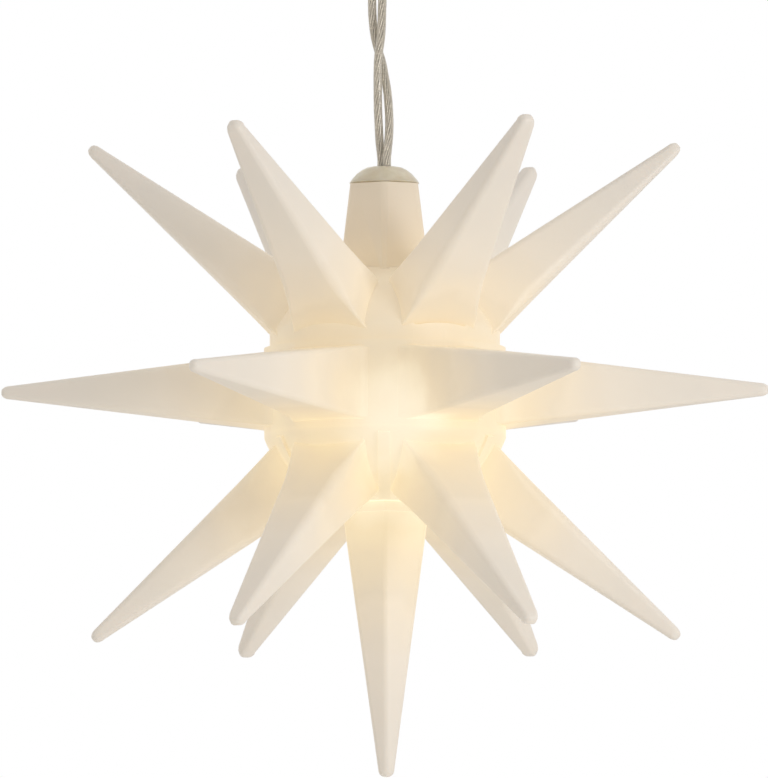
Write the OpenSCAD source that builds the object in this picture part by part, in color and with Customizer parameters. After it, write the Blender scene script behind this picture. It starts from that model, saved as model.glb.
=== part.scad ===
// Hanging star lamp: a core of three shells with 19 hollow plug-in spikes round one LED,
// hung on two twisted wires from a small battery case. Millimetres, +Z up, front along -Y.
// The origin is the middle of the hanging eye on top of the battery case.

/* [Star] */
// Distance from the middle of the star to the tips of the 18 ring spikes
tip_r = 60; // [54:0.5:66]
// Distance from the middle of the star to the tip of the bottom spike
bottom_tip_r = 60.8; // [54:0.2:66]
// Tilt of the upper spikes above level, in degrees
upper_tilt = 39.8; // [38.8:0.1:41.5]
// Tilt of the lower spikes below level, in degrees
lower_tilt = 40.3; // [38.8:0.1:41.5]

/* [Spikes] */
// Width and height of a level spike where it leaves the core
level_w = 11.1; // [9:0.1:11.3]
// Width of a tilted spike where it leaves the core
tilted_w = 9.7; // [8:0.1:9.8]
// Height of a tilted spike where it leaves the core
tilted_h = 9.8; // [8:0.1:9.9]
// How far the root of a tilted spike sits off its axis, towards the pole
tilted_shift = 0.7; // [0.3:0.1:0.9]
// Width of the blunt end of a ring spike
tip_w = 2.1; // [1.8:0.1:3]
// Length of the rounded tip of every spike
tip_round_l = 1; // [0.6:0.1:1.5]
// Radius of the long edges of a ring spike at its root
edge_r = 0.9; // [0.5:0.1:1.2]
// Radius of the long edges of a ring spike at its tip
tip_edge_r = 0.7; // [0.4:0.05:0.8]
// Wall of every spike
spike_wall = 0.9; // [0.7:0.1:1.1]
// Solid length at the tip of every spike
tip_solid = 10; // [8:0.5:14]
// How far the two ears inside the core stand out beside a ring spike
ear_out = 0.9; // [0.6:0.1:1]
// Thickness of an ear, along the spike
ear_t = 0.9; // [0.6:0.1:1.1]
// Length of an ear, up and down
ear_l = 6; // [4:0.5:6.4]

/* [Core] */
// Outer radius of the band round the middle
band_r = 18.9; // [18.7:0.1:19.4]
// Height of the band round the middle
band_h = 13.4; // [12.6:0.1:13.8]
// Wall of the band
band_wall = 1.6; // [1.4:0.1:1.9]
// How far the ball that both shells are cut from reaches past the band
ball_out = 1.4; // [1.2:0.1:1.9]
// How far the foot of the upper shell stands back from the band
rim_in = 0.9; // [0.6:0.1:1.1]
// Wall of the upper and lower shells
shell_wall = 1.1; // [0.9:0.1:1.2]
// Depth of the flat bottom pad below the middle of the star
pad_z = 17.7; // [17.4:0.1:18.2]
// Width of a snap tab between the shells and the band
tab_w = 4; // [3:0.5:4.5]
// Thickness of a snap tab
tab_t = 1; // [0.8:0.1:1.2]
// How far a snap tab reaches into the band
tab_in = 2.3; // [1.5:0.1:2.6]
// Height of the foot that joins a snap tab to its shell
tab_foot = 1.5; // [1:0.1:1.6]
// Width of the six ribs in the valleys of the lower shell
rib_w = 1.9; // [1.2:0.1:2.4]
// How far a rib stands proud of the lower shell
rib_out = 0.5; // [0.3:0.1:0.8]
// Distance from the band down to the upper end of a rib
rib_down = 1.2; // [0.4:0.2:3]

/* [Bottom spike] */
// Width across the flats of the bottom spike below its collar
bottom_w = 13.3; // [11:0.1:14]
// Width across the flats of the bottom spike at its tip
bottom_tip_w = 2.5; // [2:0.1:3.5]
// Thickness of the collar
collar_t = 1.6; // [1:0.1:2.2]
// How far the collar stands out past the spike, on each flat
collar_out = 0.35; // [0.2:0.05:0.6]
// Radius of the spigot that goes through the pad
spigot_r = 5.6; // [4.6:0.1:6]
// Height of the snap ring on the spigot
snap_h = 1.2; // [0.8:0.1:1.6]
// How far the snap ring stands out from the spigot
snap_out = 0.4; // [0.2:0.1:0.6]

/* [Neck and plug] */
// Height of the end of the neck above the middle of the star
neck_z = 32.4; // [30:0.2:35]
// Width across the flats of the neck at its end
neck_w = 10.6; // [10.4:0.1:12]
// Width across the flats of the neck where it meets the core
neck_root_w = 13.5; // [12.6:0.1:14]
// Radius of the stem of the plug
stem_r = 4.2; // [3.9:0.1:4.3]
// Length of the stem of the plug inside the neck
stem_l = 8; // [6:0.5:9]
// Radius of the barb under the stem
barb_r = 4.6; // [4.5:0.05:4.8]
// Length of the barb
barb_l = 1.6; // [1.2:0.1:2.4]
// Radius of the wider hole in the neck below the barb's shoulder
shoulder_r = 5; // [4.9:0.05:5.2]
// Radius of the cap of the plug
cap_r = 5.45; // [5.3:0.05:6]
// Height of the straight rim of the cap
cap_rim_h = 0.7; // [0.5:0.1:1]
// Height of the dome on the cap
cap_dome_h = 2.1; // [1.4:0.1:2.8]

/* [LED] */
// Radius of the LED
led_r = 2.5; // [2.3:0.1:2.5]
// Radius of the flange of the LED
led_flange_r = 2.9; // [2.7:0.1:3.1]
// Thickness of the flange of the LED
led_flange_t = 1; // [0.8:0.1:1.2]
// Length of the LED from flange to the end of its dome
led_l = 8.6; // [7.6:0.1:9.4]
// Height of the top of the flange above the middle of the star
led_z = 4.9; // [3:0.1:6]
// Distance between the two leads of the LED
lead_pitch = 2.54; // [2.5:0.02:2.6]
// Thickness of a lead of the LED
lead_t = 0.42; // [0.38:0.02:0.44]
// Free length of the leads above the flange
lead_l = 3.6; // [3:0.1:4.4]
// Length of the heat shrink sleeve
shrink_l = 8; // [7:0.5:10]
// Wall of the heat shrink sleeve
shrink_wall = 0.3; // [0.2:0.05:0.4]

/* [Wires] */
// Outer diameter of a wire
wire_d = 1.34; // [1.2:0.02:1.4]
// Diameter of the bare core of a wire
core_d = 0.4; // [0.3:0.02:0.44]
// Distance of each wire from the line midway between them
wire_off = 0.85; // [0.8:0.01:0.95]

/* [Battery case] */
// Diameter of a cell
cell_d = 10.5; // [10:0.1:10.5]
// Length of the body of a cell
cell_l = 43.6; // [43:0.1:43.8]
// Length of the button on a cell
button_l = 0.9; // [0.8:0.1:1]
// Diameter of the button on a cell
button_d = 3.8; // [3.2:0.1:4]
// Gap between the cells and what is round them
cell_gap = 0.25; // [0.15:0.05:0.4]
// Wall of the battery case
case_wall = 1.6; // [1.5:0.1:1.8]
// Radius of the upright edges of the battery case
case_edge_r = 1.2; // [0.8:0.1:1.4]
// Thickness of a contact plate
contact_t = 0.4; // [0.3:0.05:0.5]
// Width of a contact plate
contact_w = 8; // [6:0.5:9]
// Length of a squeezed contact spring
spring_l = 3.4; // [3:0.1:4]
// Wire of a contact spring
spring_wire = 0.5; // [0.4:0.05:0.5]
// Radius of a contact spring at its foot
spring_r = 2.6; // [2.2:0.1:3]
// Radius of a contact spring where it meets the cell
spring_top_r = 1.5; // [1.3:0.1:1.8]
// Number of turns of a contact spring
spring_turns = 3; // [2:0.5:3.5]
// Height of the chamber for the timer board
chamber_h = 10; // [9.8:0.1:12]
// Height of the middle of the eye above the case
eye_z = 6; // [5.2:0.1:8]
// Radius of the hole in the hanging eye
eye_hole_r = 2.5; // [2:0.1:2.8]
// Width of the ring round that hole
eye_ring = 2.3; // [1.8:0.1:2.4]
// Thickness of the hanging eye
eye_t = 3; // [2:0.1:4]
// Width of the tenon under the hanging eye
tenon_w = 6; // [4:0.5:7]
// Step from the faces of the hanging eye in to its tenon
tenon_step = 0.4; // [0.2:0.1:0.6]
// Depth of the grooves that the cover slides in
groove_in = 0.6; // [0.4:0.05:0.7]
// Thickness of the sliding cover at its edges
cover_edge_t = 0.7; // [0.5:0.05:0.8]
// Gap round the sliding cover
cover_gap = 0.1; // [0.05:0.01:0.15]
// Number of grip ridges on the cover
ridges = 5; // [3:1:7]
// Width of a grip ridge
ridge_w = 10; // [6:0.5:14]
// Distance from one grip ridge to the next
ridge_pitch = 1.6; // [1.3:0.1:2]
// Height of a grip ridge
ridge_h = 0.7; // [0.5:0.1:0.9]
// How far a grip ridge stands out
ridge_out = 0.4; // [0.2:0.05:0.6]
// Distance from the upper edge of the cover to the first grip ridge
ridge_down = 6; // [4:0.5:10]
// Width of the low rib between the two cells
rib_between_w = 0.6; // [0.4:0.1:0.9]
// Height of that rib above the back of the compartment
rib_between_h = 2; // [1:0.2:2.4]

/* [Switch and board] */
// Width of the switch body
switch_w = 8.6; // [8:0.1:9]
// Height of the switch body
switch_h = 3.6; // [3.2:0.1:4]
// Depth of the switch body
switch_d = 3.4; // [3:0.1:3.6]
// Width and height of the knob
knob_w = 2.2; // [1.8:0.1:2.6]
// Height of the knob
knob_h = 1.6; // [1.4:0.1:2]
// How far the knob stands out of the case
knob_out = 1.2; // [0.8:0.1:1.8]
// Distance between two places of the switch
switch_step = 2; // [1.6:0.1:2.2]
// Width of the board
board_w = 21; // [20:0.5:22]
// Height of the board
board_h = 8; // [7.4:0.1:8]
// Thickness of the board
board_t = 1; // [0.8:0.1:1.2]
// Width of the tabs that join the contacts to the board
lug_w = 2.4; // [1.6:0.2:3]
// How far those tabs reach down the back of the board
lug_on_board = 1.6; // [1:0.1:2.4]
// Radius of the part of the strain relief inside the case wall
relief_r = 3; // [2.8:0.1:3.3]
// Radius of the flanges of the strain relief
relief_flange_r = 3.8; // [3.6:0.1:4.2]
// Thickness of each flange of the strain relief
relief_flange_t = 0.8; // [0.6:0.1:1]
// Length of the nose of the strain relief below the case
relief_l = 3.4; // [3:0.1:4.5]
// Depth of the flared mouth in the nose
mouth_l = 2.4; // [2:0.1:2.6]
// Radius of the flared mouth at its open end
mouth_r = 2.7; // [2.6:0.05:2.8]

/* [Fits] */
// Gap between plug-in pieces, on each side
fit_gap = 0.08; // [0.04:0.01:0.1]
// Gap between faces that turn or slide past each other
face_gap = 0.1; // [0.05:0.01:0.2]
// Gap between the end of the hanging wires and the strain relief
swing_gap = 0.35; // [0.3:0.05:0.5]

/* [Hidden] */
count = 6;
full = 96;
small = 48;
eps = 0.01;
dome_r = band_r + ball_out;
rim_r = band_r - rim_in;
window_l = 7;
window_out = 2;
// The route of the pair of hanging wires, from the plug up: height above the top of the plug,
// sideways and backward place of the midway line, and how far the pair has turned, in degrees.
hang_route = [
    [0, 0, 0, -240], [1.4, 0, 0, -240], [4, 0, 0, -214], [6.5, 0, 0, -192], [9, -0.1, 0, -176],
    [11.5, -0.2, 0, -153], [14, -0.4, 0, -131], [16.5, -0.6, 0, -110], [18.5, -0.8, 0, -82],
    [20.5, -0.9, 0, -54], [23, -1, 0, -33], [26, -1, 0, -18], [29, -0.8, 0, -6], [32, -0.4, 0, 0],
    [35.6, 0, 0, 0], [37, 0, 0, 0]
];
plug_turn = hang_route[0][3];
gland_turn = hang_route[len(hang_route) - 1][3];
free_h = hang_route[len(hang_route) - 1][0];

wire_r = wire_d / 2;
wire_hole_r = wire_r + 0.03;
cap_top = neck_z + face_gap + cap_rim_h + cap_dome_h;

// Heights in the battery case, from the eye down
case_top = -eye_z;
cells_top = case_top - case_wall;
cells_h = contact_t + spring_l + cell_l + button_l + contact_t;
cells_bottom = cells_top - cells_h;
chamber_top = cells_bottom - case_wall;
chamber_bottom = chamber_top - chamber_h;
case_bottom = chamber_bottom - case_wall;
case_h = case_top - case_bottom;
cell_x = cell_d / 2 + cell_gap;
case_in_w = 4 * cell_x;
case_w = case_in_w + 2 * case_wall;
case_in_d = cell_d + 2 * cell_gap;
case_d = case_in_d + 2 * case_wall;
case_back_in = case_d / 2 - case_wall;
case_front = -case_d / 2;
panel_top = chamber_top + case_wall / 2;
relief_bottom = case_bottom - relief_l;
mouth_top = relief_bottom + mouth_l;
pivot_z = mouth_top - swing_gap;
star_z = pivot_z - free_h - cap_top;

switch_z = chamber_top - 1 - switch_h / 2;
switch_face = case_front + case_wall + 0.3;
board_front = switch_face + switch_d;
board_top = chamber_top - 0.4;
board_bottom = board_top - board_h;
board_back = board_front + board_t;

// Points of an arc corner: centre, radius, first angle and sweep, in steps
function corner(cx, cy, r, a0, sweep, steps) =
    [for (s = [0:steps]) [cx + r * cos(a0 + sweep * s / steps), cy + r * sin(a0 + sweep * s / steps)]];

// A rectangle of half sizes w and h with round corners, its middle moved up by dy
function rect_ring(w, h, r, dy) = concat(
    corner(w - r, dy + h - r, r, 0, 90, 3), corner(r - w, dy + h - r, r, 90, 90, 3),
    corner(r - w, dy + r - h, r, 180, 90, 3), corner(w - r, dy + r - h, r, 270, 90, 3));

// A hexagon with round corners, p from its middle to each flat, a corner along the first axis
function hex_ring(p, r) = [for (k = [0:5]) each
    corner((p - r) / cos(30) * cos(60 * k), (p - r) / cos(30) * sin(60 * k), r, 60 * k - 30, 60, 2)];

// A closed skin through rings of equal count, each given as [height, points]
module loft(rings) {
    n = len(rings[0][1]);
    last = len(rings) - 1;
    points = [for (ring = rings) for (p = ring[1]) [p[0], p[1], ring[0]]];
    sides = [for (k = [0:last - 1]) for (i = [0:n - 1]) each [
        [k * n + i, (k + 1) * n + i, (k + 1) * n + (i + 1) % n],
        [k * n + i, (k + 1) * n + (i + 1) % n, k * n + (i + 1) % n]]];
    caps = [[for (i = [0:n - 1]) i], [for (i = [n - 1:-1:0]) last * n + i]];
    polyhedron(points, concat(sides, caps));
}

// A round tube of radius r swept through a list of points, its ends square to ends_along
function tube_frame(a, b) = let (t = (b - a) / norm(b - a), u = cross(t, abs(t[1]) < 0.9 ? [0, 1, 0] : [1, 0, 0]))
    [u / norm(u), cross(t, u / norm(u))];
function tube_ring(route, k, r, sides) = let (
        a = route[max(k - 1, 0)],
        b = route[min(k + 1, len(route) - 1)],
        f = tube_frame(a, b))
    [for (i = [0:sides - 1]) route[k] + r * (cos(360 * i / sides) * f[0] + sin(360 * i / sides) * f[1])];
module tube(route, r, sides) {
    last = len(route) - 1;
    points = [for (k = [0:last]) each tube_ring(route, k, r, sides)];
    skin = [for (k = [0:last - 1]) for (i = [0:sides - 1]) let (j = (i + 1) % sides) each [
        [k * sides + i, k * sides + j, (k + 1) * sides + j],
        [k * sides + i, (k + 1) * sides + j, (k + 1) * sides + i]]];
    caps = [[for (i = [sides - 1:-1:0]) i], [for (i = [0:sides - 1]) last * sides + i]];
    polyhedron(points, concat(skin, caps));
}

// Places a spike drawn along +Z, its width along X and its height along Y, at an azimuth and a tilt
module aim(azimuth, tilt) {
    translate([0, 0, star_z])
        rotate([0, 0, azimuth])
            rotate([0, -tilt, 0])
                rotate(a = 120, v = [1, 1, 1])
                    children();
}

// Where the ears of a spike bear on the inside of the core, as a distance along the spike
level_ear_w = level_w / 2 + ear_out;
level_ear_a = sqrt(pow(band_r - band_wall, 2) - pow(level_ear_w, 2)) - fit_gap;
tilted_ear_w = tilted_w / 2 + ear_out;
tilted_ear_a = sqrt(pow(dome_r - shell_wall, 2) - pow(tilted_ear_w, 2)
    - pow(tilted_shift + ear_l / 2, 2)) - fit_gap;

// A straight window for a spike root, through the wall of the core at wall_r
module window(w, h, shift, wall_r) {
    r = edge_r;
    translate([0, shift, wall_r + window_out - window_l])
        linear_extrude(window_l) {
            square([w, h - 2 * r], center = true);
            square([w - 2 * r, h], center = true);
            for (sx = [-1, 1])
                for (sy = [-1, 1])
                    translate([sx * (w / 2 - r), sy * (h / 2 - r)])
                        circle(r, $fn = 24);
        }
}

// A hollow four sided spike: straight root, taper, blunt round tip, and two ears inside the core
module ring_spike(w, h, shift, ear_a, taper_a) {
    root_a = ear_a - ear_t;
    tip_h = tip_w / 2;
    round_a = tip_r - tip_round_l;
    end_a = tip_r - tip_solid;
    k = (end_a - taper_a) / (round_a - taper_a);
    hollow_w = w / 2 + (tip_h - w / 2) * k - spike_wall;
    hollow_h = h / 2 + (tip_h - h / 2) * k - spike_wall;
    inner_r = max(edge_r - spike_wall / 2, 0.2);
    difference() {
        union() {
            loft([
                [root_a, rect_ring(w / 2, h / 2, edge_r, shift)],
                [taper_a, rect_ring(w / 2, h / 2, edge_r, shift)],
                [round_a, rect_ring(tip_h, tip_h, tip_edge_r, 0)],
                [tip_r - tip_round_l * 0.3, rect_ring(tip_h * 0.78, tip_h * 0.78, tip_edge_r * 0.78, 0)],
                [tip_r, rect_ring(tip_h * 0.4, tip_h * 0.4, tip_edge_r * 0.4, 0)]]);
            translate([0, shift, root_a + ear_t / 2])
                cube([w + 2 * ear_out, ear_l, ear_t], center = true);
        }
        loft([
            [root_a - 1, rect_ring(w / 2 - spike_wall, h / 2 - spike_wall, inner_r, shift)],
            [taper_a, rect_ring(w / 2 - spike_wall, h / 2 - spike_wall, inner_r, shift)],
            [end_a, rect_ring(hollow_w, hollow_h, min(inner_r, hollow_w / 2, hollow_h / 2), shift * (1 - k))]]);
    }
}

module upper_spike(i) {
    color("seashell")
        aim(60 * (i - 1), upper_tilt)
            ring_spike(tilted_w, tilted_h, tilted_shift, tilted_ear_a, dome_r);
}

module level_spike(i) {
    color("linen")
        aim(60 * (i - 1), 0)
            ring_spike(level_w, level_w, 0, level_ear_a, band_r);
}

module lower_spike(i) {
    color("seashell")
        aim(60 * (i - 1), -lower_tilt)
            ring_spike(tilted_w, tilted_h, -tilted_shift, tilted_ear_a, dome_r);
}

// Six snap tabs that reach into the band from a shell: the seam lies at z = 0 and the shell above it
module snap_tabs(shell_in_r) {
    out_r = band_r - band_wall - fit_gap;
    for (k = [0:count - 1])
        rotate([0, 0, 60 * k + 30])
            difference() {
                union() {
                    translate([out_r - tab_t, -tab_w / 2, -tab_in])
                        cube([tab_t - 0.1, tab_w, tab_in + tab_foot]);
                    translate([out_r - tab_t, -tab_w / 2, face_gap])
                        cube([shell_in_r + 0.4 - out_r + tab_t, tab_w, tab_foot - face_gap]);
                }
                translate([0, 0, -tab_in - 1])
                    difference() {
                        cylinder(h = tab_in + 1 + face_gap / 2, r = band_r + 2, $fn = full);
                        translate([0, 0, -1])
                            cylinder(h = tab_in + 3, r = out_r, $fn = full);
                    }
            }
}

module upper_shell() {
    h = dome_r;
    neck_foot = dome_r - shell_wall - 4;
    slope = (neck_root_w - neck_w) / (neck_z - dome_r);
    color("ivory")
        translate([0, 0, star_z])
            difference() {
                union() {
                    difference() {
                        union() {
                            intersection() {
                                sphere(r = dome_r, $fn = full);
                                translate([0, 0, band_h / 2])
                                    cylinder(h = h, r = rim_r, $fn = full);
                            }
                            translate([0, 0, neck_foot])
                                rotate([0, 0, 30])
                                    cylinder(
                                        h = neck_z - neck_foot,
                                        r1 = (neck_w + slope * (neck_z - neck_foot)) / 2 / cos(30),
                                        r2 = neck_w / 2 / cos(30),
                                        $fn = 6);
                        }
                        intersection() {
                            sphere(r = dome_r - shell_wall, $fn = full);
                            cylinder(h = h, r = rim_r - shell_wall, $fn = full);
                        }
                    }
                    translate([0, 0, band_h / 2])
                        snap_tabs(rim_r - shell_wall);
                }
                cylinder(h = neck_z + 1, r = stem_r + fit_gap, $fn = small);
                cylinder(h = neck_z - stem_l, r = shoulder_r, $fn = small);
                for (k = [0:count - 1])
                    rotate([0, 0, 60 * k])
                        rotate([0, -upper_tilt, 0])
                            rotate(a = 120, v = [1, 1, 1])
                                window(tilted_w + 2 * fit_gap, tilted_h + 2 * fit_gap, tilted_shift, dome_r);
            }
}

module middle_ring() {
    color("ivory")
        translate([0, 0, star_z])
            difference() {
                cylinder(h = band_h, r = band_r, center = true, $fn = full);
                cylinder(h = band_h + 1, r = band_r - band_wall, center = true, $fn = full);
                for (k = [0:count - 1])
                    rotate([0, 0, 60 * k])
                        rotate(a = 120, v = [1, 1, 1])
                            window(level_w + 2 * fit_gap, level_w + 2 * fit_gap, 0, band_r);
            }
}

// One rib in a valley of the lower shell, from the band down to the pad
module valley_rib() {
    a0 = asin((band_h / 2 + rib_down) / (dome_r + rib_out));
    a1 = asin(pad_z / (dome_r + rib_out));
    turns = [for (s = [0:8]) a0 + (a1 - a0) * s / 8];
    outer = [for (a = turns) (dome_r + rib_out) * [cos(a), -sin(a)]];
    inner = [for (s = [8:-1:0]) (dome_r - shell_wall / 2) * [cos(turns[s]), -sin(turns[s])]];
    rotate([90, 0, 0])
        translate([0, 0, -rib_w / 2])
            linear_extrude(rib_w)
                polygon(concat(outer, inner));
}

module lower_shell() {
    in_r = band_r - shell_wall;
    seam = -band_h / 2;
    color("ivory")
        translate([0, 0, star_z])
            difference() {
                union() {
                    difference() {
                        intersection() {
                            sphere(r = dome_r, $fn = full);
                            translate([0, 0, -pad_z])
                                cylinder(h = pad_z + seam, r = band_r, $fn = full);
                        }
                        intersection() {
                            sphere(r = dome_r - shell_wall, $fn = full);
                            translate([0, 0, -pad_z + shell_wall])
                                cylinder(h = pad_z, r = in_r, $fn = full);
                        }
                    }
                    translate([0, 0, seam])
                        mirror([0, 0, 1])
                            snap_tabs(in_r);
                    for (k = [0:count - 1])
                        rotate([0, 0, 60 * k + 30])
                            valley_rib();
                }
                translate([0, 0, -pad_z - 1])
                    cylinder(h = shell_wall + 2, r = spigot_r + fit_gap, $fn = small);
                for (k = [0:count - 1])
                    rotate([0, 0, 60 * k])
                        rotate([0, lower_tilt, 0])
                            rotate(a = 120, v = [1, 1, 1])
                                window(tilted_w + 2 * fit_gap, tilted_h + 2 * fit_gap, -tilted_shift, dome_r);
            }
}

// The six sided spike under the core, with its collar, spigot and snap ring
module bottom_spike() {
    collar_z = pad_z + collar_t;
    round_z = bottom_tip_r - tip_round_l;
    end_z = bottom_tip_r - tip_solid;
    tip_p = bottom_tip_w / 2;
    k = (end_z - collar_z) / (round_z - collar_z);
    hollow_p = bottom_w / 2 + (tip_p - bottom_w / 2) * k - spike_wall;
    snap_z = pad_z - shell_wall - face_gap;
    color("seashell")
        translate([0, 0, star_z])
            mirror([0, 0, 1])
                rotate([0, 0, 30])
                    difference() {
                        union() {
                            loft([
                                [collar_z - eps, hex_ring(bottom_w / 2, edge_r)],
                                [round_z, hex_ring(tip_p, tip_edge_r)],
                                [bottom_tip_r - tip_round_l * 0.3, hex_ring(tip_p * 0.78, tip_edge_r * 0.78)],
                                [bottom_tip_r, hex_ring(tip_p * 0.4, tip_edge_r * 0.4)]]);
                            translate([0, 0, pad_z])
                                cylinder(h = collar_t, r = (bottom_w / 2 + collar_out) / cos(30), $fn = 6);
                            translate([0, 0, snap_z - snap_h])
                                cylinder(h = pad_z - snap_z + snap_h + eps, r = spigot_r, $fn = small);
                            translate([0, 0, snap_z - snap_h])
                                cylinder(h = snap_h, r = spigot_r + snap_out, $fn = small);
                        }
                        translate([0, 0, snap_z - snap_h - 1])
                            cylinder(h = collar_z - snap_z + snap_h + 1 + eps, r = spigot_r - spike_wall,
                                $fn = small);
                        loft([
                            [collar_z, hex_ring(bottom_w / 2 - spike_wall, edge_r)],
                            [end_z, hex_ring(hollow_p, min(edge_r, hollow_p / 2))]]);
                    }
}

// The two sides of the twisted pair: +1 is wire a, -1 is wire b
function turned(side, turn) = side * wire_off * [cos(turn), sin(turn)];

module neck_plug() {
    stem_top = neck_z + face_gap;
    stem_bottom = neck_z - stem_l - face_gap;
    dome_ball = (cap_r * cap_r + cap_dome_h * cap_dome_h) / 2 / cap_dome_h;
    color("wheat")
        translate([0, 0, star_z])
            difference() {
                union() {
                    translate([0, 0, stem_bottom])
                        cylinder(h = stem_top - stem_bottom + eps, r = stem_r, $fn = small);
                    translate([0, 0, stem_bottom - barb_l])
                        cylinder(h = barb_l, r1 = stem_r - 0.4, r2 = barb_r, $fn = small);
                    translate([0, 0, stem_top])
                        cylinder(h = cap_rim_h, r = cap_r, $fn = small);
                    intersection() {
                        translate([0, 0, cap_top - dome_ball])
                            sphere(r = dome_ball, $fn = full);
                        translate([0, 0, stem_top + cap_rim_h - eps])
                            cylinder(h = cap_dome_h + 1, r = cap_r, $fn = small);
                    }
                }
                for (side = [-1, 1])
                    translate(turned(side, plug_turn))
                        translate([0, 0, stem_bottom - barb_l - 1])
                            cylinder(h = cap_top - stem_bottom + barb_l + 2, r = wire_hole_r, $fn = small);
            }
}

// The wire inside the star: insulation from the top of the plug to the LED, with its bare end
module led_wire(side) {
    strip_z = led_z + lead_l + 0.6;
    color("gainsboro")
        translate([0, 0, star_z])
            translate(turned(side, plug_turn)) {
                translate([0, 0, strip_z])
                    cylinder(h = cap_top - strip_z, r = wire_r, $fn = 24);
                translate([0, 0, led_z + 1])
                    cylinder(h = strip_z - led_z - 1 + eps, r = core_d / 2, $fn = 24);
            }
}

module heat_shrink() {
    in_r = wire_off + wire_r + 0.04;
    color("whitesmoke")
        translate([0, 0, star_z + led_z + face_gap])
            difference() {
                cylinder(h = shrink_l, r = in_r + shrink_wall, $fn = small);
                translate([0, 0, -1])
                    cylinder(h = shrink_l + 2, r = in_r, $fn = small);
            }
}

// Heights of the metal inside the LED, from the middle of the star
cup_r = 0.9;
cup_h = 0.9;
cup_z = led_z - led_flange_t - 3.8;
chip_w = 0.4;
chip_t = 0.15;

// The shape of the anode, grown by g on each side
module anode_form(g) {
    rotate([0, 0, plug_turn])
        translate([-lead_pitch / 2, 0, 0]) {
            translate([-lead_t / 2 - g, -lead_t / 2 - g, cup_z - g])
                cube([lead_t + 2 * g, lead_t + 2 * g, led_z + lead_l - cup_z + 2 * g]);
            translate([-lead_t / 2 - g, -lead_t / 2 - g, cup_z - g])
                cube([lead_pitch / 2 - cup_r - 0.25 + lead_t / 2 + 2 * g, lead_t + 2 * g, 0.8 + 2 * g]);
        }
}

// The shape of the cathode with its cup, grown by g on each side
module cathode_form(g) {
    rotate([0, 0, plug_turn]) {
        translate([lead_pitch / 2 - lead_t / 2 - g, -lead_t / 2 - g, cup_z - g])
            cube([lead_t + 2 * g, lead_t + 2 * g, led_z + lead_l - cup_z + 2 * g]);
        translate([0, -lead_t / 2 - g, cup_z + cup_h / 2 - g])
            cube([lead_pitch / 2, lead_t + 2 * g, cup_h / 2 + 2 * g]);
        translate([0, 0, cup_z - g])
            cylinder(h = cup_h + 2 * g, r = cup_r + g, $fn = small);
    }
}

module led_lens() {
    bottom_z = led_z - led_l;
    color("ghostwhite")
        translate([0, 0, star_z])
            difference() {
                union() {
                    translate([0, 0, bottom_z + led_r])
                        cylinder(h = led_l - led_r, r = led_r, $fn = small);
                    translate([0, 0, bottom_z + led_r])
                        sphere(r = led_r, $fn = small);
                    translate([0, 0, led_z - led_flange_t])
                        cylinder(h = led_flange_t, r = led_flange_r, $fn = small);
                }
                anode_form(0.02);
                cathode_form(0.02);
            }
}

module led_anode() {
    color("silver")
        translate([0, 0, star_z])
            anode_form(0);
}

module led_cathode() {
    color("silver")
        translate([0, 0, star_z])
            difference() {
                cathode_form(0);
                translate([0, 0, cup_z - eps])
                    cylinder(h = cup_h / 2, r1 = cup_r - 0.1, r2 = cup_r - 0.35, $fn = small);
            }
}

module led_chip() {
    color("gold")
        translate([0, 0, star_z + cup_z + cup_h / 2 - eps - chip_t / 2])
            cube([chip_w, chip_w, chip_t], center = true);
}

module hanging_wire(side) {
    base = star_z + cap_top;
    route = [for (p = hang_route) let (t = turned(side, p[3])) [p[1] + t[0], p[2] + t[1], base + p[0]]];
    color("gainsboro")
        tube(route, wire_r, 8);
}

// A box with round upright edges, its middle on the axis and its bottom at z = 0
module rounded_box(w, d, h, r) {
    linear_extrude(h) {
        square([w, d - 2 * r], center = true);
        square([w - 2 * r, d], center = true);
        for (sx = [-1, 1])
            for (sy = [-1, 1])
                translate([sx * (w / 2 - r), sy * (d / 2 - r)])
                    circle(r, $fn = 24);
    }
}

cover_top = case_top;
cover_bottom = panel_top + face_gap;
cover_in_w = case_in_w - 2 * cover_gap;
groove_y = case_front + case_wall - cover_edge_t - cover_gap;
lug_x = cell_x;

// A slot through the floor of the cell compartment for the tab of a contact
module lug_slot(x) {
    translate([x - lug_w / 2 - cover_gap, board_back - cover_gap, chamber_top - 1])
        cube([lug_w + 2 * cover_gap, contact_t + 2 * cover_gap, case_wall + 2]);
}

// The loop has its tenon in a slot in the top of the case
module hanging_loop() {
    loop_r = eye_hole_r + eye_ring;
    tenon_h = case_wall - fit_gap;
    color("white") {
        rotate([90, 0, 0])
            translate([0, 0, -eye_t / 2])
                linear_extrude(eye_t)
                    difference() {
                        union() {
                            circle(loop_r, $fn = small);
                            translate([-loop_r, -eye_z])
                                square([2 * loop_r, eye_z]);
                        }
                        circle(eye_hole_r, $fn = small);
                    }
        translate([-tenon_w / 2, -eye_t / 2 + tenon_step, case_top - tenon_h])
            cube([tenon_w, eye_t - 2 * tenon_step, tenon_h + eps]);
    }
}

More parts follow.
